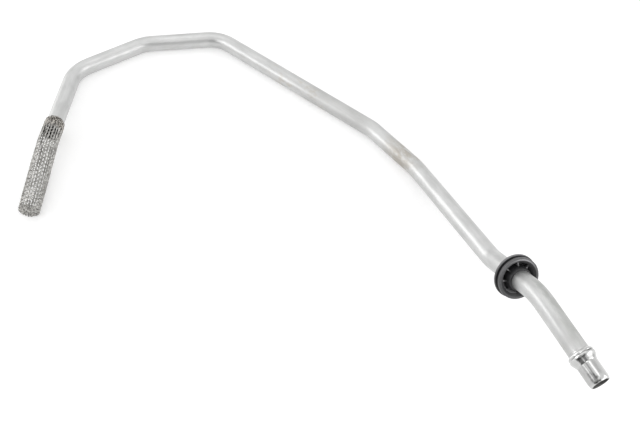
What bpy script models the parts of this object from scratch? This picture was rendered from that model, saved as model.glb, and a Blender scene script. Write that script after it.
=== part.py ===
import math

import bmesh
import bpy
from mathutils import Vector

# All sizes are in metres. The pipe is one round tube bent in seven places, a knitted wire sock
# over its inlet end and a rubber grommet near its outlet end. It lies on its flat middle run.

# Tube
TUBE_OD = 0.0160
TUBE_WALL = 0.0016
BEND_RADIUS = 0.0320
TUBE_SIDES = 28
BEND_STEP = math.radians(8.0)

# Straight legs, each measured between the corners of its bends, inlet end first
INLET_LEG = 0.0949
FIRST_FLAT_LEG = 0.0775
SECOND_FLAT_LEG = 0.0785
LONG_FLAT_LEG = 0.2055
LAST_FLAT_LEG = 0.0630
RISING_LEG = 0.1360
GROMMET_LEG = 0.0705
OUTLET_LEG = 0.0788

# Length, then heading and rise in degrees
LEGS = (
    (INLET_LEG, 118.0, -4.5),
    (FIRST_FLAT_LEG, 64.0, 0.0),
    (SECOND_FLAT_LEG, 36.0, 0.0),
    (LONG_FLAT_LEG, -11.5, 0.0),
    (LAST_FLAT_LEG, -23.0, 0.0),
    (RISING_LEG, -37.5, 10.0),
    (GROMMET_LEG, -39.5, 28.0),
    (OUTLET_LEG, -33.0, -8.5),
)

# Outlet nozzle: a plain spigot with a rounded mouth, then a formed bead that holds the hose
MOUTH_OD = 0.0146
MOUTH_ROUND = 0.0020
SPIGOT_LENGTH = 0.0163
BEAD_OD = 0.0203
BEAD_CREST_AT = 0.0214
SHOULDER_AT = 0.0248
BEAD_END_AT = 0.0282

# Knitted sock
KNIT_OD = 0.0192
KNIT_WALL = 0.0009
KNIT_RIDGE = 0.0003
HEM_LENGTH = 0.0132
SOCK_REACH = 0.0946
SOCK_KINK_AT = 0.0156
SOCK_KINK_RADIUS = 0.0400
WALES = 12
ROWS = 11
STRAND_WIDTH = 0.0018
HEM_ROWS = 4
PLAIN_BEFORE_ROWS = 0.0026
PLAIN_AFTER_ROWS = 0.0034
ROW_DIP = 0.0007
END_ROUND = 0.0012
END_HOLLOW = 0.0013
FOLD_DEPTH = 0.0004

# Grommet
GROMMET_AT = 0.0405
BACK_FLANGE_OD = 0.0346
FRONT_FLANGE_OD = 0.0334
GROOVE_OD = 0.0300
BACK_FLANGE_THICKNESS = 0.0022
GROOVE_WIDTH = 0.0022
FRONT_FLANGE_THICKNESS = 0.0030
FLANGE_ROUND = 0.0005
RIM_WIDTH = 0.0024
CUP_BEVEL = 0.0010
CUP_FLOOR_OD = 0.0246
CUP_STEP = 0.0004
WEB_THICKNESS = 0.0016
HUB_BASE_OD = 0.0206
HUB_TIP_OD = 0.0190
HUB_PROUD = 0.0035
RIB_COUNT = 8
RIB_WIDTH = 0.0011
RIB_BELOW_RIM = 0.0016
RIB_TURN = 6.0
PANELS_BETWEEN_RIBS = 5

# Clearances between separate pieces
HEM_CLEARANCE = 0.0003
GROMMET_CLEARANCE = 0.0003

TUBE_R = TUBE_OD / 2
BORE_R = TUBE_R - TUBE_WALL
KNIT_R = KNIT_OD / 2
UP = Vector((0.0, 0.0, 1.0))


def clear_scene():
    for item in list(bpy.data.objects):
        bpy.data.objects.remove(item, do_unlink=True)


def direction(heading, rise):
    a = math.radians(heading)
    b = math.radians(rise)
    return Vector((math.cos(a) * math.cos(b), math.sin(a) * math.cos(b), math.sin(b)))


def leg_corners():
    """Corner points of the tube centre line; the flat run rests on the floor."""
    rest_height = TUBE_R * math.cos(math.pi / TUBE_SIDES)
    steps = [direction(heading, rise) * length for length, heading, rise in LEGS]
    points = [Vector((0.0, 0.0, rest_height - steps[0].z))]
    for step in steps:
        points.append(points[-1] + step)
    return points


def bend(corner, before, after, radius, step):
    """Centre-line stations round one corner, each with its own direction of travel."""
    angle = before.angle(after)
    cut = radius * math.tan(angle / 2)
    start = corner - before * cut
    inward = (after - before * before.dot(after)).normalized()
    centre = start + inward * radius
    count = max(2, math.ceil(angle / step))
    stations = []
    for k in range(count + 1):
        turn = angle * k / count
        place = centre - inward * (radius * math.cos(turn)) + before * (radius * math.sin(turn))
        heading = before * math.cos(turn) + inward * math.sin(turn)
        stations.append((place, heading.normalized()))
    return stations


def ring(place, along, radius, sides, offset=0.5):
    """Points of one round section; a flat side faces down at the default offset."""
    side = along.cross(UP).normalized()
    top = side.cross(along).normalized()
    points = []
    for k in range(sides):
        a = 2 * math.pi * (k + offset) / sides
        points.append(place + side * (radius * math.cos(a)) + top * (radius * math.sin(a)))
    return points


def finish_object(name, bm, colour, metallic, roughness, smooth_angle):
    bmesh.ops.recalc_face_normals(bm, faces=bm.faces)
    mesh = bpy.data.meshes.new(name)
    bm.to_mesh(mesh)
    bm.free()
    item = bpy.data.objects.new(name, mesh)
    bpy.context.scene.collection.objects.link(item)
    material = bpy.data.materials.new(name + "_material")
    material.use_nodes = True
    shader = material.node_tree.nodes["Principled BSDF"]
    shader.inputs["Base Color"].default_value = (*colour, 1.0)
    shader.inputs["Metallic"].default_value = metallic
    shader.inputs["Roughness"].default_value = roughness
    mesh.materials.append(material)
    mesh.shade_smooth()
    mesh.set_sharp_from_angle(angle=math.radians(smooth_angle))
    return item


def nozzle_sections():
    """Distance back from the mouth and outer radius of each nozzle section."""
    mouth_r = MOUTH_OD / 2
    bead_r = BEAD_OD / 2
    rise = bead_r - TUBE_R
    cone = BEAD_CREST_AT - SPIGOT_LENGTH
    fall = SHOULDER_AT - BEAD_CREST_AT
    return [
        (0.0, mouth_r),
        (0.30 * MOUTH_ROUND, mouth_r + 0.65 * (TUBE_R - mouth_r)),
        (MOUTH_ROUND, TUBE_R),
        (SPIGOT_LENGTH, TUBE_R),
        (SPIGOT_LENGTH + 0.15 * cone, TUBE_R + 0.12 * rise),
        (SPIGOT_LENGTH + 0.75 * cone, TUBE_R + 0.86 * rise),
        (BEAD_CREST_AT, bead_r),
        (BEAD_CREST_AT + 0.40 * fall, TUBE_R + 0.92 * rise),
        (BEAD_CREST_AT + 0.80 * fall, TUBE_R + 0.60 * rise),
        (SHOULDER_AT, TUBE_R + 0.28 * rise),
        (SHOULDER_AT + 0.45 * (BEAD_END_AT - SHOULDER_AT), TUBE_R + 0.10 * rise),
        (BEAD_END_AT, TUBE_R),
    ]


def build_pipe(corners):
    legs = [(b - a).normalized() for a, b in zip(corners, corners[1:])]
    sections = [(corners[0], legs[0], TUBE_R)]
    for k in range(1, len(corners) - 1):
        for place, along in bend(corners[k], legs[k - 1], legs[k], BEND_RADIUS, BEND_STEP):
            sections.append((place, along, TUBE_R))
    mouth = corners[-1]
    for back, radius in reversed(nozzle_sections()):
        sections.append((mouth - legs[-1] * back, legs[-1], radius))

    bm = bmesh.new()
    outer = []
    inner = []
    for place, along, radius in sections:
        bore = max(BORE_R, radius - TUBE_WALL)
        outer.append([bm.verts.new(p) for p in ring(place, along, radius, TUBE_SIDES)])
        inner.append([bm.verts.new(p) for p in ring(place, along, bore, TUBE_SIDES)])
    for rings in (outer, inner):
        for first, second in zip(rings, rings[1:]):
            for k in range(TUBE_SIDES):
                n = (k + 1) % TUBE_SIDES
                bm.faces.new((first[k], first[n], second[n], second[k]))
    for end in (0, -1):
        for k in range(TUBE_SIDES):
            n = (k + 1) % TUBE_SIDES
            bm.faces.new((outer[end][k], outer[end][n], inner[end][n], inner[end][k]))
    return finish_object("pipe", bm, (0.62, 0.63, 0.64), 1.0, 0.38, 40)


def sock_path(corners):
    """Corner points of the sock: along the tube end, then down to the floor."""
    away = (corners[0] - corners[1]).normalized()
    start = corners[0] - away * HEM_LENGTH
    kink = corners[0] + away * SOCK_KINK_AT
    reach = SOCK_REACH - SOCK_KINK_AT
    drop = math.asin((KNIT_R * math.cos(math.radians(5.0)) - kink.z) / reach)
    flat = Vector((away.x, away.y, 0.0)).normalized()
    toward = flat * math.cos(drop) + UP * math.sin(drop)
    return start, kink, kink + toward * reach, away, toward


class SockLine:
    """Centre line of the sock: straight hem, one slight kink, straight free part."""

    def __init__(self, corners):
        self.start, self.kink, self.end, self.before, self.after = sock_path(corners)
        self.angle = self.before.angle(self.after)
        self.cut = SOCK_KINK_RADIUS * math.tan(self.angle / 2)
        self.first = (self.kink - self.start).length - self.cut
        self.arc = SOCK_KINK_RADIUS * self.angle
        self.length = self.first + self.arc + (self.end - self.kink).length - self.cut
        across = self.after - self.before * self.before.dot(self.after)
        self.inward = across.normalized()

    def at(self, distance):
        if distance <= self.first:
            return self.start + self.before * distance, self.before
        if distance <= self.first + self.arc:
            turn = (distance - self.first) / SOCK_KINK_RADIUS
            centre = self.start + self.before * self.first + self.inward * SOCK_KINK_RADIUS
            place = centre + self.before * (SOCK_KINK_RADIUS * math.sin(turn))
            place -= self.inward * (SOCK_KINK_RADIUS * math.cos(turn))
            return place, self.before * math.cos(turn) + self.inward * math.sin(turn)
        rest = self.length - distance
        return self.end - self.after * rest, self.after


def sock_rows(length):
    """Rows of section points: distance along, ridge share, dip share, open row or not."""
    half = STRAND_WIDTH / 2
    open_start = HEM_LENGTH + PLAIN_BEFORE_ROWS
    open_length = length - open_start - PLAIN_AFTER_ROWS - END_ROUND
    pitch = open_length / ROWS
    rows = [(0.0, 0.0, 0.0, False)]
    for k in range(HEM_ROWS):
        middle = HEM_LENGTH * (k + 0.5) / HEM_ROWS
        rows.append((middle, 1.0, 1.0, False))
        rows.append((HEM_LENGTH * (k + 1) / HEM_ROWS, 0.0, 1.0, False))
    for k in range(ROWS + 1):
        middle = open_start + pitch * k
        rows.append((middle - half, 0.0, 1.0, False))
        rows.append((middle, 1.0, 1.0, False))
        rows.append((middle + half, 0.0, 1.0, k < ROWS))
    rows.append((length - END_ROUND, 0.5, 0.0, False))
    return rows


def build_sock(corners):
    line = SockLine(corners)
    rows = sock_rows(line.length)
    cell = 2 * math.pi / WALES
    half = STRAND_WIDTH / KNIT_OD
    # Section points of one wale: left edge, ridge and right edge of the strand, middle of the gap
    columns = []
    for w in range(WALES):
        columns.append((w * cell - half, 0.0, 0.0))
        columns.append((w * cell, 1.0, 0.0))
        columns.append((w * cell + half, 0.0, 0.0))
        columns.append(((w + 0.5) * cell, 0.0, 1.0))
    sides = len(columns)

    bm = bmesh.new()

    def section(distance, outer_r, inner_r, ridge, dip, inset):
        outer = []
        inner = []
        for angle, strand, middle in columns:
            shift = ROW_DIP * dip * middle
            place, along = line.at(distance + shift)
            side = along.cross(UP).normalized()
            top = side.cross(along).normalized()
            out = side * math.cos(angle) + top * math.sin(angle)
            lift = outer_r - KNIT_RIDGE * (1.0 - max(strand, ridge))
            outer.append(bm.verts.new(place + out * lift))
            within, along = line.at(distance + shift - inset)
            inner.append(bm.verts.new(within + out * inner_r))
        return outer, inner

    hem_bore = TUBE_R + HEM_CLEARANCE
    free_bore = KNIT_R - KNIT_RIDGE - KNIT_WALL
    grid = []
    for distance, ridge, dip, opened in rows:
        bore = hem_bore if distance < HEM_LENGTH + PLAIN_BEFORE_ROWS / 2 else free_bore
        bore = max(bore, hem_bore)
        grid.append((*section(distance, KNIT_R, bore, ridge, dip, 0.0), opened))

    # The gathered end: the wall turns in over a rounded edge and folds towards the middle
    end_place, end_along = line.at(line.length)
    side = end_along.cross(UP).normalized()
    top = side.cross(end_along).normalized()
    for share, depth, fold in ((0.90, 0.0, 0.0), (0.62, 0.55, 1.0), (0.30, 1.0, 1.0)):
        outer = []
        inner = []
        for k, (angle, strand, middle) in enumerate(columns):
            out = side * math.cos(angle) + top * math.sin(angle)
            crease = FOLD_DEPTH * fold * (1.0 if k % 2 else -1.0)
            sink = END_HOLLOW * depth - crease
            place = end_place - end_along * sink
            outer.append(bm.verts.new(place + out * (KNIT_R * share)))
            inner_share = min(share, (hem_bore / KNIT_R) * 0.97)
            within = end_place - end_along * (sink + KNIT_WALL + END_ROUND * 0.5)
            inner.append(bm.verts.new(within + out * (KNIT_R * inner_share - KNIT_WALL * 0.2)))
        grid.append((outer, inner, False))

    for level in range(len(grid) - 1):
        outer, inner, opened = grid[level]
        next_outer, next_inner, _ = grid[level + 1]
        for k in range(sides):
            n = (k + 1) % sides
            gap = opened and k % 4 in (2, 3)
            if not gap:
                bm.faces.new((outer[k], outer[n], next_outer[n], next_outer[k]))
                bm.faces.new((inner[k], next_inner[k], next_inner[n], inner[n]))
                continue
            bm.faces.new((outer[k], outer[n], inner[n], inner[k]))
            bm.faces.new((next_outer[k], next_inner[k], next_inner[n], next_outer[n]))
            if k % 4 == 2:
                bm.faces.new((outer[k], inner[k], next_inner[k], next_outer[k]))
            else:
                bm.faces.new((outer[n], next_outer[n], next_inner[n], inner[n]))

    outer, inner, _ = grid[0]
    last_outer, last_inner, _ = grid[-1]
    outer_tip = bm.verts.new(end_place - end_along * END_HOLLOW)
    inner_tip = bm.verts.new(end_place - end_along * (END_HOLLOW + KNIT_WALL + END_ROUND * 0.5))
    for k in range(sides):
        n = (k + 1) % sides
        bm.faces.new((outer[k], inner[k], inner[n], outer[n]))
        bm.faces.new((last_outer[k], last_outer[n], outer_tip))
        bm.faces.new((last_inner[n], last_inner[k], inner_tip))
    return finish_object("strainer_sock", bm, (0.42, 0.41, 0.39), 1.0, 0.35, 50)


def grommet_profiles():
    """Closed half sections, radius and distance forward of the mid plane: open and at a rib."""
    front = (BACK_FLANGE_THICKNESS + GROOVE_WIDTH + FRONT_FLANGE_THICKNESS) / 2
    back = -front
    bore = TUBE_R + GROMMET_CLEARANCE
    back_r = BACK_FLANGE_OD / 2
    front_r = FRONT_FLANGE_OD / 2
    groove_r = GROOVE_OD / 2
    groove_back = back + BACK_FLANGE_THICKNESS
    groove_front = front - FRONT_FLANGE_THICKNESS
    rim_inner = front_r - FLANGE_ROUND - RIM_WIDTH
    cup_r = rim_inner - CUP_BEVEL
    floor_r = CUP_FLOOR_OD / 2
    floor = back + WEB_THICKNESS
    rib_top = front - RIB_BELOW_RIM
    hub_base = HUB_BASE_OD / 2
    hub_tip = HUB_TIP_OD / 2
    hub_top = front + HUB_PROUD
    slope = (rib_top - floor) / (hub_top - floor)
    hub_at_rib = hub_base + (hub_tip - hub_base) * slope
    deep = floor - rib_top

    shared = [
        (bore, back),
        (back_r - FLANGE_ROUND, back),
        (back_r, back + FLANGE_ROUND),
        (back_r, groove_back - FLANGE_ROUND / 2),
        (back_r - FLANGE_ROUND / 2, groove_back),
        (groove_r, groove_back),
        (groove_r, groove_front),
        (front_r - FLANGE_ROUND / 2, groove_front),
        (front_r, groove_front + FLANGE_ROUND / 2),
        (front_r, front - FLANGE_ROUND),
        (front_r - FLANGE_ROUND, front),
        (rim_inner, front),
        (cup_r, front - CUP_BEVEL),
        (cup_r - CUP_STEP / 2, rib_top),
    ]
    cup = [
        (cup_r - CUP_STEP, rib_top + 0.30 * deep),
        (cup_r - 2 * CUP_STEP, rib_top + 0.32 * deep),
        (cup_r - 2.5 * CUP_STEP, rib_top + 0.62 * deep),
        (cup_r - 3.5 * CUP_STEP, rib_top + 0.64 * deep),
        (floor_r, floor),
        (hub_base, floor),
    ]
    top = [
        (hub_at_rib, rib_top),
        (hub_tip, hub_top - FLANGE_ROUND),
        (hub_tip - FLANGE_ROUND, hub_top),
        (bore, hub_top),
    ]
    return shared, cup, top


def build_grommet(corners):
    axis = (corners[7] - corners[6]).normalized()
    middle = corners[6] + axis * GROMMET_AT
    side = axis.cross(UP).normalized()
    lift = side.cross(axis).normalized()
    shared, cup, top = grommet_profiles()
    whole = shared + cup + top
    rib_half = RIB_WIDTH / (shared[-1][0] + top[0][0])

    # Section angles round the axis; a rib fills the panel that follows its first section
    angles = []
    pitch = 2 * math.pi / RIB_COUNT
    between = (pitch - 2 * rib_half) / PANELS_BETWEEN_RIBS
    for k in range(RIB_COUNT):
        start = math.radians(RIB_TURN) + k * pitch
        angles.append((start - rib_half, True))
        for j in range(PANELS_BETWEEN_RIBS):
            angles.append((start + rib_half + j * between, False))

    bm = bmesh.new()
    sections = []
    for angle, rib in angles:
        out = side * math.cos(angle) + lift * math.sin(angle)
        sections.append([bm.verts.new(middle + out * r + axis * u) for r, u in whole])

    keep = list(range(len(shared)))
    bridge = keep + list(range(len(shared) + len(cup), len(whole)))
    pocket = list(range(len(shared) - 1, len(shared) + len(cup) + 1))
    count = len(sections)
    for s in range(count):
        here = sections[s]
        there = sections[(s + 1) % count]
        rib = angles[s][1]
        order = bridge if rib else list(range(len(whole)))
        for a, b in zip(order, order[1:] + order[:1]):
            bm.faces.new((here[a], here[b], there[b], there[a]))
        if rib:
            bm.faces.new([here[k] for k in pocket])
            bm.faces.new([there[k] for k in reversed(pocket)])
    return finish_object("rubber_grommet", bm, (0.015, 0.015, 0.017), 0.0, 0.55, 35)


def centre_footprint(items):
    """Moves every piece together so the footprint is centred and the lowest point is at zero."""
    points = [v.co for item in items for v in item.data.vertices]
    low = [min(p[k] for p in points) for k in range(3)]
    high = [max(p[k] for p in points) for k in range(3)]
    shift = Vector(((low[0] + high[0]) / 2, (low[1] + high[1]) / 2, low[2]))
    for item in items:
        for v in item.data.vertices:
            v.co -= shift
        item.data.update()
    print("shift", [round(c, 6) for c in shift])
    print("size", [round(h - l, 5) for h, l in zip(high, low)])


def main():
    clear_scene()
    corners = leg_corners()
    items = [build_pipe(corners), build_sock(corners), build_grommet(corners)]
    centre_footprint(items)


main()
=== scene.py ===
import math
import random
from collections import namedtuple

import bmesh
import bpy
from mathutils import Matrix, Vector, noise


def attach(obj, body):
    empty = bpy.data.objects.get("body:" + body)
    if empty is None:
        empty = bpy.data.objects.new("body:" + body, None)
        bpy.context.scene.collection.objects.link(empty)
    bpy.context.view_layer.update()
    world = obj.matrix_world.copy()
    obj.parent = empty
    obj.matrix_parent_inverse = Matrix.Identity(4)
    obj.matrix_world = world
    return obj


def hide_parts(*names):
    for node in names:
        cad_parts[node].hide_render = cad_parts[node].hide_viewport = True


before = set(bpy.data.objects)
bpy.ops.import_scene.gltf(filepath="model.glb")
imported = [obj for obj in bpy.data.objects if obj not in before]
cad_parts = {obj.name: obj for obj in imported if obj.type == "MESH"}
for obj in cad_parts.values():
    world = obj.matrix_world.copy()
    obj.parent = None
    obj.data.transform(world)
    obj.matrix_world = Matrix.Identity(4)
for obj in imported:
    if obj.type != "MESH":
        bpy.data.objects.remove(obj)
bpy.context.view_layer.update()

# All sizes are in metres. Three pieces are dressed: a bent metal tube, a sock of knitted wire
# over its inlet end and a moulded rubber grommet near its outlet end.
UP = Vector((0.0, 0.0, 1.0))

# Centre line of the pipe, as in the solids: length, then heading and rise in degrees of each leg
LEGS = (
    (0.0949, 118.0, -4.5),
    (0.0775, 64.0, 0.0),
    (0.0785, 36.0, 0.0),
    (0.2055, -11.5, 0.0),
    (0.0630, -23.0, 0.0),
    (0.1360, -37.5, 10.0),
    (0.0705, -39.5, 28.0),
    (0.0788, -33.0, -8.5),
)
FOOTPRINT_CENTRE = Vector((0.243867, 0.058865, 0.0))
REST_HEIGHT = 0.00795

# Tube
TUBE_R = 0.0080
BORE_R = 0.0064
TUBE_SIDES = 72
STATION_SPACING = 0.004
BEND_RADIUS = 0.0320
BEND_STEP = math.radians(2.5)
# A bend flattens the tube by this share of its radius, in full where it turns by so much
FLATTENING = 0.024
FULL_TURN = 0.7
# Unevenness of the drawn tube, as a share of its radius, and how quickly it changes lengthwise
UNEVENNESS = 0.004
UNEVEN_RATE = 22.0

# Spigot and formed bead: distance back from the mouth and outer radius
BEAD_R = 0.01015
NOZZLE = (
    (0.0000, 0.00715),
    (0.0004, 0.00744),
    (0.0011, 0.00769),
    (0.0022, 0.00787),
    (0.0036, 0.00797),
    (0.0048, 0.00800),
    (0.0156, 0.00800),
    (0.0162, 0.00802),
    (0.0165, 0.00815),
    (0.0170, 0.00838),
    (0.0180, 0.00882),
    (0.0190, 0.00927),
    (0.0200, 0.00972),
    (0.0207, 0.01000),
    (0.0212, 0.01012),
    (0.0217, 0.01012),
    (0.0221, 0.01000),
    (0.0225, 0.00976),
    (0.0228, 0.00968),
    (0.0231, 0.00976),
    (0.0236, 0.00990),
    (0.0241, 0.00986),
    (0.0245, 0.00962),
    (0.0249, 0.00918),
    (0.0253, 0.00876),
    (0.0258, 0.00848),
    (0.0264, 0.00828),
    (0.0272, 0.00811),
    (0.0282, 0.00802),
    (0.0300, 0.00800),
)
NOZZLE_MARGIN = 0.0002
# The plain stretch of the spigot has sections of its own
PLAIN_FROM = 0.0064
PLAIN_SPACING = 0.0019
PLAIN_SECTIONS = 5

# Stretches of the pipe by distance from its inlet end, each with its soft edge
DULL_STRETCH = (0.366, 0.452, 0.012)
STAIN_AT = 0.500
FAINT_STAIN_AT = 0.364
# The same by distance back from its mouth
DULL_COLLAR = (0.029, 0.041, 0.005)
DARK_FLANK_STRETCH = (0.030, 0.090, 0.010)
POLISHED_UP_TO = 0.0265
# Side of the tube that is darker, in patches
DARK_FLANK_SIDE = (math.radians(72.0), math.radians(150.0), math.radians(10.0))
# Marks on the spigot and the leg behind it: painted highlights on the bead's lip and crest,
# painted shade in its grooves, on one side and over reflections on the spigot and the last bend,
# and darker
# patches, each with soft edges: distances back from the mouth, degrees round the tube, then how
# bright the mark is and how strong
SPIGOT_PAINTED_MARKS = (
    ((0.0241, 0.0250, 0.0002), (10.0, 70.0, 6.0), 0.92, 0.9),
    ((0.0254, 0.0272, 0.0004), (-10.0, 60.0, 8.0), 0.42, 0.6),
    ((0.0198, 0.0214, 0.0004), (36.0, 80.0, 4.0), 0.12, 0.85),
    ((0.0217, 0.0220, 0.00015), (18.0, 72.0, 6.0), 0.80, 0.9),
    ((0.0225, 0.0232, 0.0002), (12.0, 92.0, 8.0), 0.24, 0.9),
    ((0.0221, 0.0230, 0.0002), (92.0, 128.0, 6.0), 0.10, 1.0),
    ((0.0168, 0.0188, 0.0006), (34.0, 64.0, 5.0), 0.98, 0.8),
    ((0.0164, 0.0190, 0.0008), (78.0, 124.0, 8.0), 0.28, 0.85),
    ((0.0160, 0.0164, 0.00015), (38.0, 62.0, 4.0), 0.10, 0.9),
    ((0.0014, 0.0158, 0.0010), (-40.0, 33.0, 5.0), 0.36, 0.7),
    ((0.0170, 0.0205, 0.0010), (0.0, 32.0, 8.0), 0.50, 0.6),
    ((0.0042, 0.0072, 0.0007), (54.0, 63.0, 3.0), 0.16, 0.9),
    ((0.0004, 0.0022, 0.0004), (33.0, 74.0, 4.0), 0.13, 0.9),
    ((0.0022, 0.0046, 0.0006), (26.0, 70.0, 5.0), 0.12, 0.95),
    ((0.0046, 0.0088, 0.0012), (30.0, 54.0, 4.0), 0.14, 0.85),
    ((0.0030, 0.0160, 0.0008), (35.0, 48.0, 4.0), 0.22, 0.85),
    ((0.0050, 0.0155, 0.0012), (84.0, 106.0, 6.0), 0.40, 0.75),
    ((0.0780, 0.0970, 0.0060), (36.0, 80.0, 10.0), 0.44, 0.5),
)
# Marks darker than this come out patchy
DARK_MARK_TONE = 0.5

# Sock: a round sleeve with one slight kink, which falls until its tip rests on the ground
KNIT_R = 0.0096
HEM_LENGTH = 0.0132
SOCK_REACH = 0.0946
SOCK_KINK_AT = 0.0156
SOCK_KINK_RADIUS = 0.0400
SOCK_FALL = math.radians(5.0)
# Knit: wales run lengthwise and courses run round, and the hem has a second layer inside
WALES = 22
WALE_ANGLE = 2 * math.pi / WALES
COURSES = 23
HEM_COURSES = 4
HEM_WIRE_R = 0.00852
END_ROUNDS = 5
WIRE_R = 0.00036
WIRE_SIDES = 5
LOOP_STEPS = 14
KNIT_SEED = 11
TIP_MARGIN = 0.0002
# Room that the loops need to rise and dip where they cross
WIRE_LIFT = 0.0003
# Neighbouring wales stand this share of a course higher or lower
STAGGER = 0.22
# Swelling of the free part, as a share of its radius
SWELLING = 0.030
# Closed end: half length of its loops, radius of the hole left, how far it sinks and crumples
END_LOOP = 0.0011
END_HOLE_R = 0.0004
END_HOLLOW = 0.0016
END_CRUMPLE = 0.0014
# Wandering of the wales, width of a loop's waist and its sideways pull, in shares of one wale
DRIFT = 0.14
LOOP_WAIST = 0.15
LOOP_PULL = (0.10, 0.18)
# Lengthwise creases: angle at the hem and at the end, width, depth and painted shade
PLEATS = (
    (1.15, 2.10, 0.16, 0.0009, 1.0),
    (2.55, 2.55, 0.16, 0.0004, 0.0),
    (4.40, 4.40, 0.18, 0.0006, 0.0),
    (0.30, 0.30, 0.16, 0.0005, 0.0),
)
CREASE_SHADE_WIDTH = 0.15
# Behind the hem the creases grow to their full depth over this length
PLEAT_FADE = 0.008

# Grommet: its place along its leg, and the radii of its half section and of the painted light in
# it
GROMMET_AT = 0.0405
GROMMET_BORE_R = 0.00803
BACK_FLANGE_R = 0.0175
GROOVE_R = 0.0150
FRONT_FLANGE_R = 0.0168
RIDGE_R = 0.0153
RIDGE_HALF = 0.0003
RIM_INNER_R = 0.0147
CUP_R = 0.0128
CUP_BRIGHT_R = 0.0136
CUP_FLOOR_R = 0.0114
HUB_FOOT_R = 0.0104
HUB_SHOULDER_R = 0.0099
HUB_TIP_R = 0.0090
GROMMET_SIDES = 144
# Grommet: distances along its axis, forward of its middle
FRONT = 0.0037
BACK = -FRONT
GROOVE_BACK = BACK + 0.0022
GROOVE_FRONT = BACK + 0.0044
CUP_FLOOR = BACK + 0.0016
RIDGE_TOP = FRONT + 0.00016
BEVEL_FOOT = FRONT - 0.0017
HUB_SHOULDER = FRONT - 0.0002
HUB_LIP = FRONT + 0.0026
HUB_TOP = FRONT + 0.0032
# Ledges down the cup wall: radius of the wall above each, and the depths below the rim where
# that wall starts and ends
LEDGES = (
    (0.0127, 0.0020, 0.0024),
    (0.0123, 0.0030, 0.0034),
    (0.0119, 0.0040, 0.0045),
)
LEDGE_WIDTH = 0.0004
LEDGE_SLOPE = 0.0002
# Ribs: radius and height over the brow, from the cup wall to the hub
RIB_COUNT = 8
RIB_TURN = math.radians(6.0)
RIB_HALF = 0.00045
RIB_ROUND = 0.00018
RIB_SUNK = 0.0005
RIB_BROW = FRONT - 0.0014
LOW_RIB = 7
LOW_RIB_BROW = FRONT - 0.0032
RIB_TOP = (
    (0.0136, -0.0008),
    (0.0130, -0.0006),
    (0.0122, -0.0003),
    (0.0112, 0.0002),
    (0.0104, 0.0004),
    (0.0092, 0.0008),
)
# Rib number: radii between which its top has a painted glint, and how bright
RIB_PAINTED_GLINTS = {
    0: (0.0120, 0.0139, 1.0),
    1: (0.0118, 0.0131, 0.90),
    2: (0.0112, 0.0131, 0.70),
    3: (0.0091, 0.0105, 0.80),
}
NO_PAINTED_GLINT = (0.0, 0.0, 0.0)
# Angles at which the painted light on the rubber is strongest
BEVEL_LIT_AT = math.radians(82.0)
RIDGE_LIT_AT = math.radians(115.0)
LEDGES_LIT_AT = math.radians(310.0)
CUP_LIT_AT = math.radians(35.0)

# Colours of the metal: clean, streaked, dull, on the darker flank, stained, and painted shade in
# the bore and in the sock
PALE_METAL = (0.630, 0.632, 0.628)
GREY_METAL = (0.540, 0.543, 0.538)
STREAK_GREY = (0.470, 0.473, 0.468)
DULL_GREY = (0.460, 0.455, 0.445)
DARK_FLANK_GREY = (0.435, 0.442, 0.428)
STAIN_BROWN = (0.385, 0.350, 0.300)
FAINT_BROWN = (0.440, 0.390, 0.320)
BORE_SHADE_GREY = (0.170, 0.170, 0.165)
COVERED_SHADE_BROWN = (0.035, 0.030, 0.026)
# Colours of the wire: the free part, the hem, the closed end, dirt, and painted shade in a crease
WIRE_GREY = (0.430, 0.422, 0.404)
WIRE_BRIGHT = (0.760, 0.750, 0.725)
WIRE_DARK = (0.170, 0.165, 0.155)
WIRE_DULL = (0.300, 0.293, 0.280)
HEM_DARK = (0.070, 0.062, 0.054)
HEM_BRIGHT = (0.640, 0.610, 0.565)
FRAY_DARK = (0.140, 0.135, 0.125)
FRAY_BRIGHT = (0.740, 0.730, 0.700)
GRIME_GREY = (0.120, 0.115, 0.105)
CREASE_SHADE_GREY = (0.085, 0.080, 0.072)
# Colours of the rubber: clean, under painted light, and lighter on its sharp edges
RUBBER_BLACK = (0.012, 0.012, 0.013)
RUBBER_GREY = (0.020, 0.020, 0.022)
PAINTED_LIGHT_GREY = (0.380, 0.380, 0.390)
EDGE_GREY = (0.140, 0.140, 0.145)

# Room: the ground glows a little, and further out it fades into the white surroundings
FLOOR_HALF = 6.0
FLOOR_COLOUR = (0.80, 0.80, 0.80, 1.0)
FLOOR_GLOW = 0.35
FLOOR_FADE = (1.2, 3.0)
WHITE = (1.0, 1.0, 1.0, 1.0)
ROOM_LIGHT = 0.70
# Shapes mirrored in the metal: heading, rise, reach, soft edge and brightness
ROOM_SHAPES = (
    (-82.0, 18.0, 0.32, 0.10, 0.14),
    (-50.0, 43.0, 0.24, 0.14, 0.26),
    (-102.0, 8.0, 0.24, 0.08, 0.45),
    (-130.0, 58.0, 0.15, 0.06, 0.50),
    (95.0, 85.0, 0.15, 0.06, 2.10),
    (38.0, 8.0, 0.24, 0.12, 1.45),
)
# One high soft lamp, and low wide panels whose reflections run along the tube: name, place,
# width and height, power
LAMPS = (
    ("overhead", (-0.60, 0.70, 1.70), (1.80, 1.80), 2.5),
    ("high_front", (0.37, -0.70, 1.50), (0.55, 0.55), 1.6),
    ("front_left", (-1.20, -1.05, 0.85), (1.60, 0.50), 4.3),
    ("right", (1.48, 0.28, 0.85), (1.80, 0.75), 7.0),
    ("left", (-1.70, -0.06, 0.55), (1.00, 0.95), 4.3),
)

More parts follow.
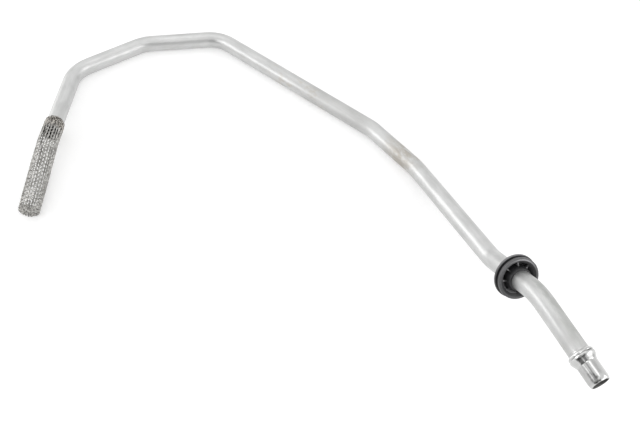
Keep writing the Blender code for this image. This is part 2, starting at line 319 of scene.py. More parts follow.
# Camera, found by fitting the bent tube to the photograph
CAMERA_PLACE = (0.2877, -0.4695, 0.6109)
CAMERA_YAW = math.radians(30.459)
CAMERA_FALL = math.radians(48.896)
CAMERA_ROLL = math.radians(0.442)
FOCAL_PIXELS = 918.5
PHOTO_WIDTH_PIXELS = 640
SENSOR_WIDTH_MM = 36.0

Station = namedtuple("Station", "place heading distance squeeze outward")


def direction(heading, rise):
    a = math.radians(heading)
    b = math.radians(rise)
    return Vector((math.cos(a) * math.cos(b), math.sin(a) * math.cos(b), math.sin(b)))


def leg_corners():
    """Corner points of the tube's centre line."""
    steps = [direction(heading, rise) * length for length, heading, rise in LEGS]
    points = [Vector((0.0, 0.0, REST_HEIGHT - steps[0].z)) - FOOTPRINT_CENTRE]
    for step in steps:
        points.append(points[-1] + step)
    return points


def axes_at(along):
    """Sideways and upward directions square to the direction of travel."""
    side = along.cross(UP).normalized()
    return side, side.cross(along).normalized()


def ramp(value, start, length):
    """Zero before the start and one past the length, smooth between."""
    x = min(1.0, max(0.0, (value - start) / length))
    return x * x * (3.0 - 2.0 * x)


def mesh_object(name, bm):
    mesh = bpy.data.meshes.new(name)
    bm.to_mesh(mesh)
    bm.free()
    item = bpy.data.objects.new(name, mesh)
    bpy.context.scene.collection.objects.link(item)
    return item


def finish_piece(item, material, node, sharp_angle=None):
    """Shades one piece, gives it its material and hides the node of the solids that it stands
    for.
    """
    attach(item, "root")
    item.data.shade_smooth()
    if sharp_angle is not None:
        item.data.set_sharp_from_angle(angle=math.radians(sharp_angle))
    item.data.materials.append(material)
    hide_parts(node)


class Nodes:
    """Short helper for building the node tree of a material or of the world."""

    def __init__(self, owner):
        owner.use_nodes = True
        self.owner = owner
        self.tree = owner.node_tree

    def add(self, kind, **values):
        node = self.tree.nodes.new(kind)
        for key, value in values.items():
            setattr(node, key, value)
        return node

    def link(self, source, target):
        self.tree.links.new(source, target)

    def surface(self, name):
        """One input of the material's surface."""
        return self.tree.nodes["Principled BSDF"].inputs[name]

    def attribute(self, name):
        return self.add("ShaderNodeAttribute", attribute_name=name)

    def parts(self, vector):
        """The three coordinates of a vector."""
        node = self.add("ShaderNodeSeparateXYZ")
        self.link(vector, node.inputs["Vector"])
        return node.outputs["X"], node.outputs["Y"], node.outputs["Z"]

    def noise(self, vector, scales, detail, roughness):
        """Noise that is finer along the axes with the larger scales."""
        mapping = self.add("ShaderNodeMapping")
        mapping.inputs["Scale"].default_value = scales
        self.link(vector, mapping.inputs["Vector"])
        node = self.add("ShaderNodeTexNoise")
        node.inputs["Scale"].default_value = 1.0
        node.inputs["Detail"].default_value = detail
        node.inputs["Roughness"].default_value = roughness
        self.link(mapping.outputs["Vector"], node.inputs["Vector"])
        return node.outputs["Fac"]

    def span(self, value, low, high, to_low=0.0, to_high=1.0, kind="LINEAR"):
        node = self.add("ShaderNodeMapRange", interpolation_type=kind)
        node.inputs["From Min"].default_value = low
        node.inputs["From Max"].default_value = high
        node.inputs["To Min"].default_value = to_low
        node.inputs["To Max"].default_value = to_high
        self.link(value, node.inputs["Value"])
        return node.outputs["Result"]

    def window(self, value, low, high, soft):
        """One between low and high, falling to nothing over the soft margin on both sides."""
        rise = self.span(value, low - soft, low + soft)
        fall = self.span(value, high + soft, high - soft)
        return self.times(rise, fall)

    def near(self, value, middle, core, reach):
        """One within the core distance of the middle, falling to nothing at the reach."""
        off = self.maths("ABSOLUTE", self.maths("SUBTRACT", value, middle))
        return self.span(off, reach, core)

    def maths(self, operation, a, b=None):
        node = self.add("ShaderNodeMath", operation=operation)
        for socket, value in zip(node.inputs, (a, b)):
            if value is None:
                continue
            if isinstance(value, (int, float)):
                socket.default_value = value
            else:
                self.link(value, socket)
        return node.outputs["Value"]

    def times(self, a, b):
        return self.maths("MULTIPLY", a, b)

    def plus(self, a, b):
        return self.maths("ADD", a, b)

    def mix(self, factor, first, second):
        node = self.add("ShaderNodeMix", data_type="RGBA")
        self.link(factor, node.inputs["Factor"])
        for socket, value in ((node.inputs["A"], first), (node.inputs["B"], second)):
            if isinstance(value, tuple):
                socket.default_value = (*value, 1.0)
            else:
                self.link(value, socket)
        return node.outputs["Result"]

    def tint(self, base, colour, amount, share=1.0):
        """The base covered with another colour, by a varying amount times a fixed share."""
        return self.mix(self.times(amount, share), base, colour)

    def bump(self, height, distance, strength, normal=None):
        node = self.add("ShaderNodeBump")
        node.inputs["Strength"].default_value = strength
        node.inputs["Distance"].default_value = distance
        self.link(height, node.inputs["Height"])
        if normal is not None:
            self.link(normal, node.inputs["Normal"])
        return node.outputs["Normal"]


def metal_material(length):
    """Drawn satin metal: polished at the spigot, dull and stained in places, darker on one flank,
    with painted shade inside and painted highlights and shade on the bead.
    """
    n = Nodes(bpy.data.materials.new("satin_metal"))
    drawn = n.attribute("drawn").outputs["Vector"]
    along, across, upward = n.parts(drawn)
    back = n.maths("SUBTRACT", length, along)
    turn = n.maths("ARCTAN2", upward, across)
    streaks = n.noise(drawn, (14.0, 900.0, 900.0), 4.0, 0.6)
    fine = n.noise(drawn, (60.0, 4200.0, 4200.0), 2.0, 0.5)
    clouds = n.noise(drawn, (45.0, 120.0, 120.0), 4.0, 0.6)
    blotch = n.noise(drawn, (90.0, 190.0, 190.0), 5.0, 0.65)
    dents = n.noise(drawn, (70.0, 190.0, 190.0), 2.0, 0.5)

    base = n.mix(n.span(clouds, 0.36, 0.64), GREY_METAL, PALE_METAL)
    base = n.tint(base, STREAK_GREY, n.span(streaks, 0.42, 0.72), 0.30)
    dull = n.plus(n.window(along, *DULL_STRETCH), n.window(back, *DULL_COLLAR))
    base = n.tint(base, DULL_GREY, dull, 0.32)
    # One flank of the outlet leg is darker, in patches
    dark_flank = n.times(n.window(back, *DARK_FLANK_STRETCH), n.window(turn, *DARK_FLANK_SIDE))
    dark_flank = n.times(dark_flank, n.span(blotch, 0.58, 0.48, 0.40, 0.85))
    base = n.tint(base, DARK_FLANK_GREY, dark_flank)
    stain = n.times(n.near(along, STAIN_AT, 0.004, 0.030), n.span(blotch, 0.40, 0.56))
    base = n.tint(base, STAIN_BROWN, stain, 0.70)
    faint = n.times(n.near(along, FAINT_STAIN_AT, 0.008, 0.050), n.span(blotch, 0.50, 0.66))
    base = n.tint(base, FAINT_BROWN, faint, 0.55)

    # Painted highlights on the bead's edges, painted shade in its grooves and over reflections,
    # and darker patches
    for lengthwise, around, tone, strength in SPIGOT_PAINTED_MARKS:
        ring = n.window(back, *lengthwise)
        arc = n.window(turn, *(math.radians(angle) for angle in around))
        amount = n.times(ring, arc)
        if tone < DARK_MARK_TONE:
            amount = n.times(amount, n.span(blotch, 0.30, 0.55, 0.45, 1.0))
        base = n.tint(base, (tone, tone, tone * 0.99), amount, strength)

    # The bore gets painted shade and is rougher; the stretch inside the sock gets dark painted
    # shade
    radius = n.maths("SQRT", n.plus(n.times(across, across), n.times(upward, upward)))
    bore = n.span(radius, BORE_R + 0.0006, BORE_R + 0.0003)
    base = n.tint(base, BORE_SHADE_GREY, bore, 0.80)
    covered = n.span(along, HEM_LENGTH + 0.0008, HEM_LENGTH - 0.0006)
    base = n.tint(base, COVERED_SHADE_BROWN, covered, 0.95)
    n.link(base, n.surface("Base Color"))

    polished = n.span(back, POLISHED_UP_TO + 0.001, POLISHED_UP_TO - 0.001)
    rough = n.span(streaks, 0.25, 0.80, 0.38, 0.48)
    for amount, change in ((stain, 0.10), (polished, -0.27), (bore, 0.35), (dull, 0.12)):
        rough = n.plus(rough, n.times(amount, change))
    n.link(rough, n.surface("Roughness"))
    n.surface("Metallic").default_value = 1.0
    coarse = n.bump(streaks, 0.00005, 0.35, n.bump(dents, 0.00030, 0.45))
    n.link(n.bump(fine, 0.00002, 0.30, coarse), n.surface("Normal"))
    return n.owner


def wire_material():
    """Knitted wire: grey steel, darker and brown over the tube end, dirt in places, painted shade
    along a crease.
    """
    n = Nodes(bpy.data.materials.new("knitted_wire"))
    place = n.attribute("drawn").outputs["Vector"]
    along = n.parts(place)[0]
    clouds = n.noise(place, (90.0, 120.0, 120.0), 4.0, 0.6)
    grime = n.noise(place, (300.0, 300.0, 300.0), 3.0, 0.6)
    stitches = n.noise(place, (420.0, 420.0, 420.0), 1.0, 0.4)
    spots = n.noise(place, (720.0, 720.0, 720.0), 1.0, 0.4)
    ends = n.noise(place, (900.0, 900.0, 900.0), 1.0, 0.4)

    base = n.mix(n.span(clouds, 0.35, 0.68), WIRE_GREY, WIRE_BRIGHT)
    base = n.tint(base, WIRE_DARK, n.span(stitches, 0.60, 0.38), 0.62)
    hemmed = n.mix(n.span(spots, 0.45, 0.55), HEM_DARK, HEM_BRIGHT)
    hem = n.span(along, HEM_LENGTH + 0.0020, HEM_LENGTH - 0.0020)
    base = n.tint(base, hemmed, n.times(hem, n.span(clouds, 0.30, 0.62, 0.75, 1.0)))
    base = n.tint(base, WIRE_DULL, n.span(along, 0.045, 0.085), 0.20)
    base = n.tint(base, GRIME_GREY, n.span(grime, 0.56, 0.68), 0.55)
    fray = n.mix(n.span(ends, 0.45, 0.53), FRAY_DARK, FRAY_BRIGHT)
    end = n.span(along, SOCK_REACH - 0.0045, SOCK_REACH - 0.0010)
    base = n.tint(base, fray, end, 0.65)
    # Painted shade along the main crease
    base = n.tint(base, CREASE_SHADE_GREY, n.attribute("crease_shade").outputs["Fac"], 0.80)
    n.link(base, n.surface("Base Color"))
    n.link(n.span(grime, 0.3, 0.7, 0.26, 0.42), n.surface("Roughness"))
    n.surface("Metallic").default_value = 1.0
    n.link(n.bump(grime, 0.00003, 0.4), n.surface("Normal"))
    return n.owner


def rubber_material():
    """Moulded black rubber, grey where light and highlights are painted on its rim, bevel,
    ledges, ribs and cup, and lighter on sharp edges.
    """
    n = Nodes(bpy.data.materials.new("black_rubber"))
    coords = n.add("ShaderNodeTexCoord").outputs["Object"]
    clouds = n.noise(coords, (420.0, 420.0, 420.0), 4.0, 0.6)
    grain = n.noise(coords, (5200.0, 5200.0, 5200.0), 2.0, 0.5)
    pointiness = n.add("ShaderNodeNewGeometry").outputs["Pointiness"]
    painted_light = n.attribute("painted_light").outputs["Fac"]

    base = n.mix(n.span(clouds, 0.35, 0.72), RUBBER_BLACK, RUBBER_GREY)
    # Painted light and highlights from the grommet's attribute, made uneven by the clouds
    lightened = n.times(painted_light, n.span(clouds, 0.25, 0.70, 0.72, 1.0))
    base = n.tint(base, PAINTED_LIGHT_GREY, lightened)
    base = n.tint(base, EDGE_GREY, n.span(pointiness, 0.50, 0.60), 0.10)
    n.link(base, n.surface("Base Color"))
    n.link(n.span(clouds, 0.3, 0.7, 0.34, 0.50), n.surface("Roughness"))
    n.surface("Specular IOR Level").default_value = 0.45
    n.link(n.bump(grain, 0.00003, 0.35), n.surface("Normal"))
    return n.owner


def bend_stations(stop, leg, after, angle, travelled):
    """Stations round one bend; the tube is most squeezed halfway round."""
    inward = (after - leg * leg.dot(after)).normalized()
    centre = stop + inward * BEND_RADIUS
    count = max(3, math.ceil(angle / BEND_STEP))
    stations = []
    for k in range(count):
        turn = angle * k / count
        place = centre - inward * (BEND_RADIUS * math.cos(turn))
        place += leg * (BEND_RADIUS * math.sin(turn))
        heading = (leg * math.cos(turn) + inward * math.sin(turn)).normalized()
        squeeze = math.sin(math.pi * k / count) * min(1.0, angle / FULL_TURN)
        distance = travelled + BEND_RADIUS * turn
        stations.append(Station(place, heading, distance, squeeze, (place - centre).normalized()))
    return stations


def bent_line(corners):
    """Stations along the tube's centre line, and its whole length."""
    legs = [(b - a).normalized() for a, b in zip(corners, corners[1:])]
    stations = []
    travelled = 0.0
    here = corners[0]
    for k, leg in enumerate(legs):
        last = k == len(legs) - 1
        angle = 0.0 if last else leg.angle(legs[k + 1])
        cut = BEND_RADIUS * math.tan(angle / 2)
        stop = corners[k + 1] - leg * cut
        straight = (stop - here).length
        count = max(1, math.ceil(straight / STATION_SPACING))
        for j in range(count):
            step = straight * j / count
            stations.append(Station(here + leg * step, leg, travelled + step, 0.0, None))
        travelled += straight
        if not last:
            stations += bend_stations(stop, leg, legs[k + 1], angle, travelled)
            travelled += BEND_RADIUS * angle
            here = corners[k + 1] + legs[k + 1] * cut
    return stations, travelled


def nozzle_radius(back):
    for (near, r_near), (far, r_far) in zip(NOZZLE, NOZZLE[1:]):
        if back <= far:
            return r_near + (r_far - r_near) * (back - near) / (far - near)
    return TUBE_R


def pipe_section(bm, drawn, station, length):
    """Outer and inner ring of points at one station."""
    side, top = axes_at(station.heading)
    radius = nozzle_radius(length - station.distance)
    bore = max(BORE_R, radius - TUBE_R + BORE_R)
    outer = []
    inner = []
    for k in range(TUBE_SIDES):
        a = 2 * math.pi * k / TUBE_SIDES
        out = side * math.cos(a) + top * math.sin(a)
        spot = Vector((station.distance * UNEVEN_RATE, math.cos(a), math.sin(a)))
        r = radius * (1.0 - UNEVENNESS * abs(noise.noise(spot)))
        if station.outward is not None:
            r *= 1.0 - FLATTENING * station.squeeze * out.dot(station.outward) ** 2
        for ring, size in ((outer, min(r, BEAD_R)), (inner, bore)):
            v = bm.verts.new(station.place + out * size)
            v.co.z = max(0.0, v.co.z)
            v[drawn] = (station.distance, size * math.cos(a), size * math.sin(a))
            ring.append(v)
    return outer, inner


def build_pipe(corners):
    coarse, length = bent_line(corners)
    nozzle_length = NOZZLE[-1][0] + NOZZLE_MARGIN
    stations = [s for s in coarse if s.distance < length - nozzle_length]
    axis = (corners[-1] - corners[-2]).normalized()
    backs = [back for back, _ in NOZZLE]
    backs += [PLAIN_FROM + PLAIN_SPACING * k for k in range(PLAIN_SECTIONS)]
    for back in sorted(backs, reverse=True):
        stations.append(Station(corners[-1] - axis * back, axis, length - back, 0.0, None))

    bm = bmesh.new()
    drawn = bm.verts.layers.float_vector.new("drawn")
    sections = [pipe_section(bm, drawn, station, length) for station in stations]
    for (outer, inner), (next_outer, next_inner) in zip(sections, sections[1:]):
        for k in range(TUBE_SIDES):
            m = (k + 1) % TUBE_SIDES
            bm.faces.new((outer[k], outer[m], next_outer[m], next_outer[k]))
            bm.faces.new((next_inner[k], next_inner[m], inner[m], inner[k]))
    for outer, inner in (sections[0], sections[-1]):
        for k in range(TUBE_SIDES):
            m = (k + 1) % TUBE_SIDES
            bm.faces.new((outer[k], outer[m], inner[m], inner[k]))
    bmesh.ops.recalc_face_normals(bm, faces=bm.faces)
    item = mesh_object("bent_pipe", bm)
    finish_piece(item, metal_material(length), "pipe", 50)


class SockLine:
    """Centre line of the sock: straight over the tube end, one slight kink, then straight."""

    def __init__(self, corners):
        self.before = (corners[0] - corners[1]).normalized()
        self.start = corners[0] - self.before * HEM_LENGTH
        kink = corners[0] + self.before * SOCK_KINK_AT
        reach = SOCK_REACH - SOCK_KINK_AT
        drop = math.asin((KNIT_R * math.cos(SOCK_FALL) - kink.z) / reach)
        flat = Vector((self.before.x, self.before.y, 0.0)).normalized()
        self.after = flat * math.cos(drop) + UP * math.sin(drop)
        self.end = kink + self.after * reach
        angle = self.before.angle(self.after)
        cut = SOCK_KINK_RADIUS * math.tan(angle / 2)
        self.first = (kink - self.start).length - cut
        self.arc = SOCK_KINK_RADIUS * angle
        self.length = self.first + self.arc + reach - cut
        across = self.after - self.before * self.before.dot(self.after)
        self.inward = across.normalized()

    def at(self, distance):
        """Place and direction at a distance from the hem's edge."""
        if distance <= self.first:
            return self.start + self.before * distance, self.before
        if distance <= self.first + self.arc:
            turn = (distance - self.first) / SOCK_KINK_RADIUS
            centre = self.start + self.before * self.first + self.inward * SOCK_KINK_RADIUS
            place = centre + self.before * (SOCK_KINK_RADIUS * math.sin(turn))
            place -= self.inward * (SOCK_KINK_RADIUS * math.cos(turn))
            return place, self.before * math.cos(turn) + self.inward * math.sin(turn)
        return self.end - self.after * (self.length - distance), self.after


def pleat(angle, along):
    """Radial dip of the lengthwise creases that handling has left in the sock, and painted shade
    along them.
    """
    free = min(1.0, max(0.0, (along - HEM_LENGTH) / (SOCK_REACH - HEM_LENGTH)))
    fade = ramp(along, HEM_LENGTH, PLEAT_FADE)
    dip = 0.0
    crease_shade = 0.0
    for start, stop, width, depth, shade_share in PLEATS:
        centre = start + (stop - start) * free
        off = (angle - centre + math.pi) % (2 * math.pi) - math.pi
        dip += depth * math.exp(-((off / width) ** 2))
        # The painted shade ends about halfway along the free part
        crease_shade += shade_share * math.exp(-((off / CREASE_SHADE_WIDTH) ** 2)) * (1.0 - ramp(free, 0.40, 0.15))
    return dip * fade, crease_shade * fade


class Knit:
    """One mesh of wire loops laid round the centre line of the sock."""

    def __init__(self, line):
        self.line = line
        self.reach = line.length - WIRE_R - TIP_MARGIN
        self.rng = random.Random(KNIT_SEED)
        self.bm = bmesh.new()
        self.drawn = self.bm.verts.layers.float_vector.new("drawn")
        self.crease_shade = self.bm.verts.layers.float.new("crease_shade")

    def add_wire(self, points, marks):
        """Sweeps one thin wire through the points; marks are its sock coordinates and painted
        crease shade.
        """
        rings = []
        normal = None
        last = len(points) - 1
        for k, point in enumerate(points):
            ahead = points[min(k + 1, last)] - points[max(k - 1, 0)]
            ahead.normalize()
            if normal is None:
                normal = ahead.orthogonal().normalized()
            normal = (normal - ahead * normal.dot(ahead)).normalized()
            other = ahead.cross(normal)
            ring = []
            for s in range(WIRE_SIDES):
                a = 2 * math.pi * s / WIRE_SIDES
                out = normal * math.cos(a) + other * math.sin(a)
                v = self.bm.verts.new(point + out * WIRE_R)
                v.co.z = max(0.0, v.co.z)
                v[self.drawn], v[self.crease_shade] = marks[k]
                ring.append(v)
            rings.append(ring)
        for first, second in zip(rings, rings[1:]):
            for s in range(WIRE_SIDES):
                m = (s + 1) % WIRE_SIDES
                self.bm.faces.new((first[s], first[m], second[m], second[s]))
        self.bm.faces.new(rings[0][::-1])
        self.bm.faces.new(rings[-1])

    def place_at(self, distance, angle, radius, sink=0.0):
        """Point in space and sock coordinates of a place on the knit."""
        spot, along = self.line.at(distance)
        side, top = axes_at(along)
        out = side * math.cos(angle) + top * math.sin(angle)
        point = spot + out * radius - along * sink
        mark = Vector((distance, radius * math.cos(angle), radius * math.sin(angle)))
        return point, mark

    def course(self, middle, rise, wall, height, depth, jitter, twist):
        """One course of loops round the sock, rising by one pitch as it goes."""
        points = []
        marks = []
        wobble = [self.rng.uniform(-jitter, jitter) for _ in range(WALES + 1)]
        pull = [self.rng.uniform(*LOOP_PULL) for _ in range(WALES + 1)]
        for k in range(WALES * LOOP_STEPS + 1):
            t = 2 * math.pi * k / LOOP_STEPS
            wale = k / LOOP_STEPS
            first = min(int(wale), WALES - 1)
            along = middle + rise * wale / WALES - height * math.cos(t)
            along += wobble[first] + (wobble[first + 1] - wobble[first]) * (wale - first)
            along += STAGGER * rise * math.cos(math.pi * wale)
            lean = DRIFT * noise.noise(Vector((wale * 0.9, along * 30.0, 4.0)))
            shape = LOOP_WAIST * math.sin(2 * t) + pull[first] * math.sin(t)
            angle = twist + WALE_ANGLE * (wale + lean + shape)
            free = min(1.0, max(0.0, (along - HEM_LENGTH) / (self.reach - HEM_LENGTH)))
            radius = wall * (1.0 + SWELLING * math.sin(math.pi * free)) - depth * math.cos(2 * t)
            dip, crease_shade = pleat(angle, along)
            point, mark = self.place_at(min(along, self.reach), angle, radius - dip)
            points.append(point)
            marks.append((mark, crease_shade))
        self.add_wire(points, marks)

    def end_round(self, number, wall):
        """One round of the closed end, gathered towards the middle and a little crumpled."""
        points = []
        marks = []
        share = 1.0 - (number + 0.35) / (END_ROUNDS + 0.1)
        depth = WIRE_LIFT + END_HOLLOW * (1.0 - share)
        for k in range(WALES * LOOP_STEPS + 1):
            t = 2 * math.pi * k / LOOP_STEPS
            angle = WALE_ANGLE * (k / LOOP_STEPS + 0.17 * math.sin(2 * t))
            dip, crease_shade = pleat(angle, self.line.length)
            radius = max(END_HOLE_R, wall * share - END_LOOP * math.cos(t) - dip * share)
            spot = Vector((math.cos(angle) * 3.0, math.sin(angle) * 3.0, number * 1.7))
            sink = depth + WIRE_LIFT * math.cos(2 * t) + END_CRUMPLE * abs(noise.noise(spot))
            point, mark = self.place_at(self.line.length - WIRE_R - 0.0001, angle, radius, sink)
            points.append(point)
            marks.append((mark, crease_shade))
        self.add_wire(points, marks)


def build_sock(corners):
    knit = Knit(SockLine(corners))
    wall = KNIT_R - WIRE_R - WIRE_LIFT
    pitch = knit.reach / (COURSES + 1.25)
    for k in range(COURSES):
        knit.course(
            middle=pitch * (k + 0.80),
            rise=pitch,
            wall=wall,
            height=0.72 * pitch,
            depth=0.00028,
            jitter=0.00028,
            twist=0.0,
        )
    pitch = HEM_LENGTH / (HEM_COURSES + 0.6)
    for k in range(HEM_COURSES):
        knit.course(
            middle=pitch * (k + 0.9),
            rise=pitch,
            wall=HEM_WIRE_R,
            height=0.80 * pitch,
            depth=0.00018,
            jitter=0.0003,
            twist=0.5 * WALE_ANGLE,
        )
    for k in range(END_ROUNDS):
        knit.end_round(k, wall)
    item = mesh_object("knitted_sock", knit.bm)
    finish_piece(item, wire_material(), "strainer_sock")


def rounded(points, steps=5):
    """Half section with rounded corners: each point is radius, forward distance, rounding."""
    result = []
    count = len(points)
    for k, (r, u, size) in enumerate(points):
        here = Vector((r, u))
        if size == 0.0:
            result.append((r, u))
            continue
        back = (Vector(points[k - 1][:2]) - here).normalized()
        ahead = (Vector(points[(k + 1) % count][:2]) - here).normalized()
        for j in range(steps + 1):
            s = j / steps
            point = here + back * (size * (1 - s) ** 2) + ahead * (size * s**2)
            result.append((point.x, point.y))
    return result


def grommet_section():
    """Closed half section of the rubber, from the back of the bore outwards and round."""
    points = [
        (GROMMET_BORE_R, BACK, 0.0003),
        (BACK_FLANGE_R, BACK, 0.0006),
        (BACK_FLANGE_R, GROOVE_BACK, 0.0006),
        (GROOVE_R, GROOVE_BACK, 0.0003),
        (GROOVE_R, GROOVE_FRONT, 0.0003),
        (FRONT_FLANGE_R, GROOVE_FRONT, 0.0004),
        (FRONT_FLANGE_R, FRONT, 0.0006),
        (RIDGE_R + RIDGE_HALF, FRONT, 0.0002),
        (RIDGE_R, RIDGE_TOP, 0.0002),
        (RIDGE_R - RIDGE_HALF, FRONT, 0.0002),
        (RIM_INNER_R, FRONT, 0.0003),
        (CUP_R, BEVEL_FOOT, 0.0003),
    ]
    for wall_r, start, end in LEDGES:
        points.append((wall_r, FRONT - start, 0.0))
        points.append((wall_r, FRONT - end, 0.0002))
        points.append((wall_r - LEDGE_WIDTH, FRONT - end - LEDGE_SLOPE, 0.0002))
    points += [
        (CUP_FLOOR_R, CUP_FLOOR, 0.0003),
        (HUB_FOOT_R, CUP_FLOOR, 0.0004),
        (HUB_SHOULDER_R, HUB_SHOULDER, 0.0012),
        (HUB_TIP_R, HUB_LIP, 0.0009),
        (GROMMET_BORE_R, HUB_TOP, 0.0004),
    ]
    return rounded(points)


def grommet_painted_light(r, u, angle):
    """How much painted light lies on the rubber at one place: even on the rim, outer edges and
    cup floor, stronger on their lit sides, with painted highlights on the ridge and ledges.
    """
    lit = max(0.0, math.cos(angle - BEVEL_LIT_AT)) ** 1.5
    facing = 0.5 + 0.5 * math.cos(angle - CUP_LIT_AT)

    # Painted light on the rim of the front flange, brightest along the lit stretch of its ridge
    ridge = ramp(1.0 - abs(r - RIDGE_R) / 0.0009, 0.0, 1.0) if u > FRONT - 0.0001 else 0.0
    shine = ridge * max(0.0, math.cos(angle - RIDGE_LIT_AT)) ** 5
    rim = ramp(r, RIM_INNER_R - 0.0001, 0.0004) * ramp(u, FRONT - 0.0010, 0.0008)
    rim *= 0.25 + 0.04 * lit + 1.20 * shine

    # Painted light on the bevel inside the rim, then on the outer edges of both flanges
    bevel = ramp(r, CUP_R - 0.0006, 0.0010) * ramp(u, FRONT - 0.0022, 0.0008)
    bevel *= 0.22 * facing**2 + 0.16 * lit
    edges = 0.07 * ramp(r, FRONT_FLANGE_R - 0.0008, 0.0006)
    back_edge = 0.62 * ramp(r, FRONT_FLANGE_R, 0.0004) * lit

    # Painted light on the cup wall and floor, and painted highlights on the ledges on the low
    # side
    wall = ramp(r, CUP_FLOOR_R - 0.0002, 0.0008) * (1.0 - ramp(r, CUP_BRIGHT_R, 0.0006))
    wall *= 0.34 * facing**2
    cup = 0.05 + 0.14 * facing if HUB_FOOT_R < r < CUP_BRIGHT_R else 0.0
    ledge = 0.0
    if CUP_FLOOR_R < r < CUP_R + 0.0002:
        off = min(abs(u - FRONT + end + 0.0001) for _, _, end in LEDGES)
        low = max(0.0, math.cos(angle - LEDGES_LIT_AT)) ** 2
        ledge = min(1.0, 1.6 * low * ramp(1.0 - off / 0.0004, 0.0, 1.0))
    return max(rim, bevel, edges, back_edge, wall, cup, ledge)


class GrommetPlace:
    """Place of the grommet on the pipe, and its directions."""

    def __init__(self, corners):
        self.axis = (corners[7] - corners[6]).normalized()
        self.middle = corners[6] + self.axis * GROMMET_AT
        self.side, self.top = axes_at(self.axis)

    def out(self, angle):
        return self.side * math.cos(angle) + self.top * math.sin(angle)


def add_rib(bm, painted_light, place, number):
    """One thin rounded web from the hub to the cup wall, with a painted glint on part of its top.
    """
    out = place.out(RIB_TURN + 2 * math.pi * number / RIB_COUNT)
    across = place.axis.cross(out)
    near, far, painted_glint = RIB_PAINTED_GLINTS.get(number, NO_PAINTED_GLINT)
    brow = LOW_RIB_BROW if number == LOW_RIB else RIB_BROW
    foot = CUP_FLOOR - RIB_SUNK
    shape = [(RIB_TOP[-1][0], foot), (RIB_TOP[0][0], foot)]
    shape += [(r, brow + height) for r, height in RIB_TOP]
    loops = []
    for lift in (-RIB_HALF, RIB_HALF):
        loop = []
        for r, u in shape:
            v = bm.verts.new(place.middle + out * r + place.axis * u + across * lift)
            v[painted_light] = painted_glint if near <= r <= far and u > CUP_FLOOR else 0.0
            loop.append(v)
        loops.append(loop)
    left, right = loops
    faces = [bm.faces.new(left), bm.faces.new(right[::-1])]
    for j in range(len(shape)):
        m = (j + 1) % len(shape)
        faces.append(bm.faces.new((left[j], right[j], right[m], left[m])))
    edges = {e for f in faces for e in f.edges}
    bmesh.ops.bevel(bm, geom=list(edges), offset=RIB_ROUND, segments=3, affect="EDGES")


def build_grommet(corners):
    place = GrommetPlace(corners)
    section = grommet_section()
    count = len(section)
    bm = bmesh.new()
    painted_light = bm.verts.layers.float.new("painted_light")
    rings = []
    for k in range(GROMMET_SIDES):
        angle = 2 * math.pi * k / GROMMET_SIDES
        out = place.out(angle)
        ring = []
        for r, u in section:
            v = bm.verts.new(place.middle + out * r + place.axis * u)
            v[painted_light] = grommet_painted_light(r, u, angle)
            ring.append(v)
        rings.append(ring)
    for here, there in zip(rings, rings[1:] + rings[:1]):
        for j in range(count):
            m = (j + 1) % count
            bm.faces.new((here[j], here[m], there[m], there[j]))
    for number in range(RIB_COUNT):
        add_rib(bm, painted_light, place, number)
    bmesh.ops.recalc_face_normals(bm, faces=bm.faces)
    item = mesh_object("grommet_rubber", bm)
    finish_piece(item, rubber_material(), "rubber_grommet", 60)


def floor_material():
    """White ground with a little glow of its own, plain white far out for the camera."""
    n = Nodes(bpy.data.materials.new("floor_white"))
    n.tree.nodes.clear()
    ray = n.add("ShaderNodeLightPath")
    position = n.add("ShaderNodeNewGeometry").outputs["Position"]
    distance = n.add("ShaderNodeVectorMath", operation="LENGTH")
    n.link(position, distance.inputs[0])
    fade = n.span(distance.outputs["Value"], *FLOOR_FADE, FLOOR_GLOW, 1.0)
    shown = n.times(ray.outputs["Is Camera Ray"], fade)
    mirrored = n.times(ray.outputs["Is Glossy Ray"], FLOOR_GLOW)
    diffuse = n.add("ShaderNodeBsdfDiffuse")
    diffuse.inputs["Color"].default_value = FLOOR_COLOUR
    glow = n.add("ShaderNodeEmission")
    glow.inputs["Color"].default_value = WHITE
    n.link(n.maths("MAXIMUM", shown, mirrored), glow.inputs["Strength"])
    both = n.add("ShaderNodeAddShader")
    n.link(diffuse.outputs["BSDF"], both.inputs[0])
    n.link(glow.outputs["Emission"], both.inputs[1])
    output = n.add("ShaderNodeOutputMaterial")
    n.link(both.outputs["Shader"], output.inputs["Surface"])
    return n.owner


def build_floor():
    bm = bmesh.new()
    bmesh.ops.create_grid(bm, x_segments=1, y_segments=1, size=FLOOR_HALF)
    floor = mesh_object("floor", bm)
    floor.data.materials.append(floor_material())


def background(n, strength):
    node = n.add("ShaderNodeBackground")
    node.inputs["Color"].default_value = WHITE
    node.inputs["Strength"].default_value = strength
    return node


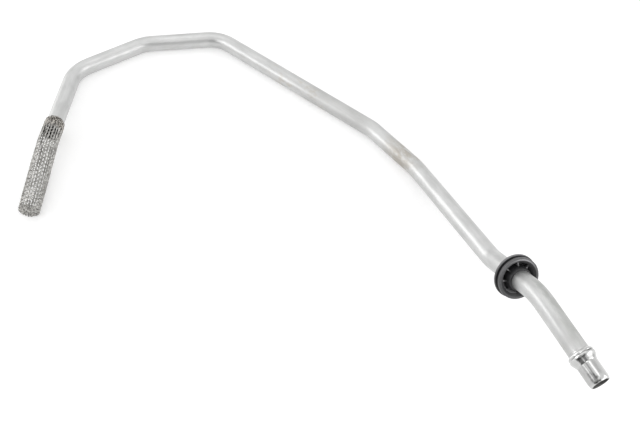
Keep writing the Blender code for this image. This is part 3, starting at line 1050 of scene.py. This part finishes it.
def build_room():
    """White surroundings, in which the metal also mirrors a few darker and brighter shapes."""
    world = bpy.data.worlds.new("studio")
    n = Nodes(world)
    n.tree.nodes.clear()
    ray = n.add("ShaderNodeLightPath")
    view = n.add("ShaderNodeTexCoord").outputs["Generated"]
    level = None
    for heading, rise, reach, soft, tone in ROOM_SHAPES:
        offset = n.add("ShaderNodeVectorMath", operation="DISTANCE")
        offset.inputs[1].default_value = tuple(direction(heading, rise))
        n.link(view, offset.inputs[0])
        off = offset.outputs["Value"]
        shape = n.span(off, reach + soft, reach - soft, 1.0, tone, "SMOOTHSTEP")
        level = shape if level is None else n.times(level, shape)
    mirrored = n.add("ShaderNodeMix")
    mirrored.inputs["A"].default_value = 1.0
    n.link(ray.outputs["Is Glossy Ray"], mirrored.inputs["Factor"])
    n.link(level, mirrored.inputs["B"])

    light = background(n, ROOM_LIGHT)
    white = background(n, 1.0)
    n.link(mirrored.outputs["Result"], white.inputs["Strength"])
    seen = n.maths("MAXIMUM", ray.outputs["Is Camera Ray"], ray.outputs["Is Glossy Ray"])
    mix = n.add("ShaderNodeMixShader")
    n.link(seen, mix.inputs["Fac"])
    n.link(light.outputs["Background"], mix.inputs[1])
    n.link(white.outputs["Background"], mix.inputs[2])
    output = n.add("ShaderNodeOutputWorld")
    n.link(mix.outputs["Shader"], output.inputs["Surface"])
    bpy.context.scene.world = world


def build_lamps():
    for name, place, (width, height), power in LAMPS:
        data = bpy.data.lights.new(name, "AREA")
        data.shape = "RECTANGLE"
        data.size = width
        data.size_y = height
        data.energy = power
        item = bpy.data.objects.new(name, data)
        item.location = place
        item.rotation_euler = (-Vector(place)).to_track_quat("-Z", "Y").to_euler()
        bpy.context.scene.collection.objects.link(item)


def build_camera():
    """Camera at the photograph's place and angle."""
    ahead = Vector((
        -math.sin(CAMERA_YAW) * math.cos(CAMERA_FALL),
        math.cos(CAMERA_YAW) * math.cos(CAMERA_FALL),
        -math.sin(CAMERA_FALL),
    ))
    level = Vector((math.cos(CAMERA_YAW), math.sin(CAMERA_YAW), 0.0))
    down = ahead.cross(level)
    right = level * math.cos(CAMERA_ROLL) + down * math.sin(CAMERA_ROLL)
    under = down * math.cos(CAMERA_ROLL) - level * math.sin(CAMERA_ROLL)
    data = bpy.data.cameras.new("camera")
    data.sensor_width = SENSOR_WIDTH_MM
    data.lens = FOCAL_PIXELS / PHOTO_WIDTH_PIXELS * SENSOR_WIDTH_MM
    data.clip_start = 0.01
    data.clip_end = 50.0
    item = bpy.data.objects.new("camera", data)
    turn = Matrix((right, -under, -ahead)).transposed().to_4x4()
    item.matrix_world = Matrix.Translation(CAMERA_PLACE) @ turn
    bpy.context.scene.collection.objects.link(item)
    bpy.context.scene.camera = item


corners = leg_corners()
build_pipe(corners)
build_sock(corners)
build_grommet(corners)
build_floor()
build_room()
build_lamps()
build_camera()
bpy.context.scene.view_settings.view_transform = "Standard"
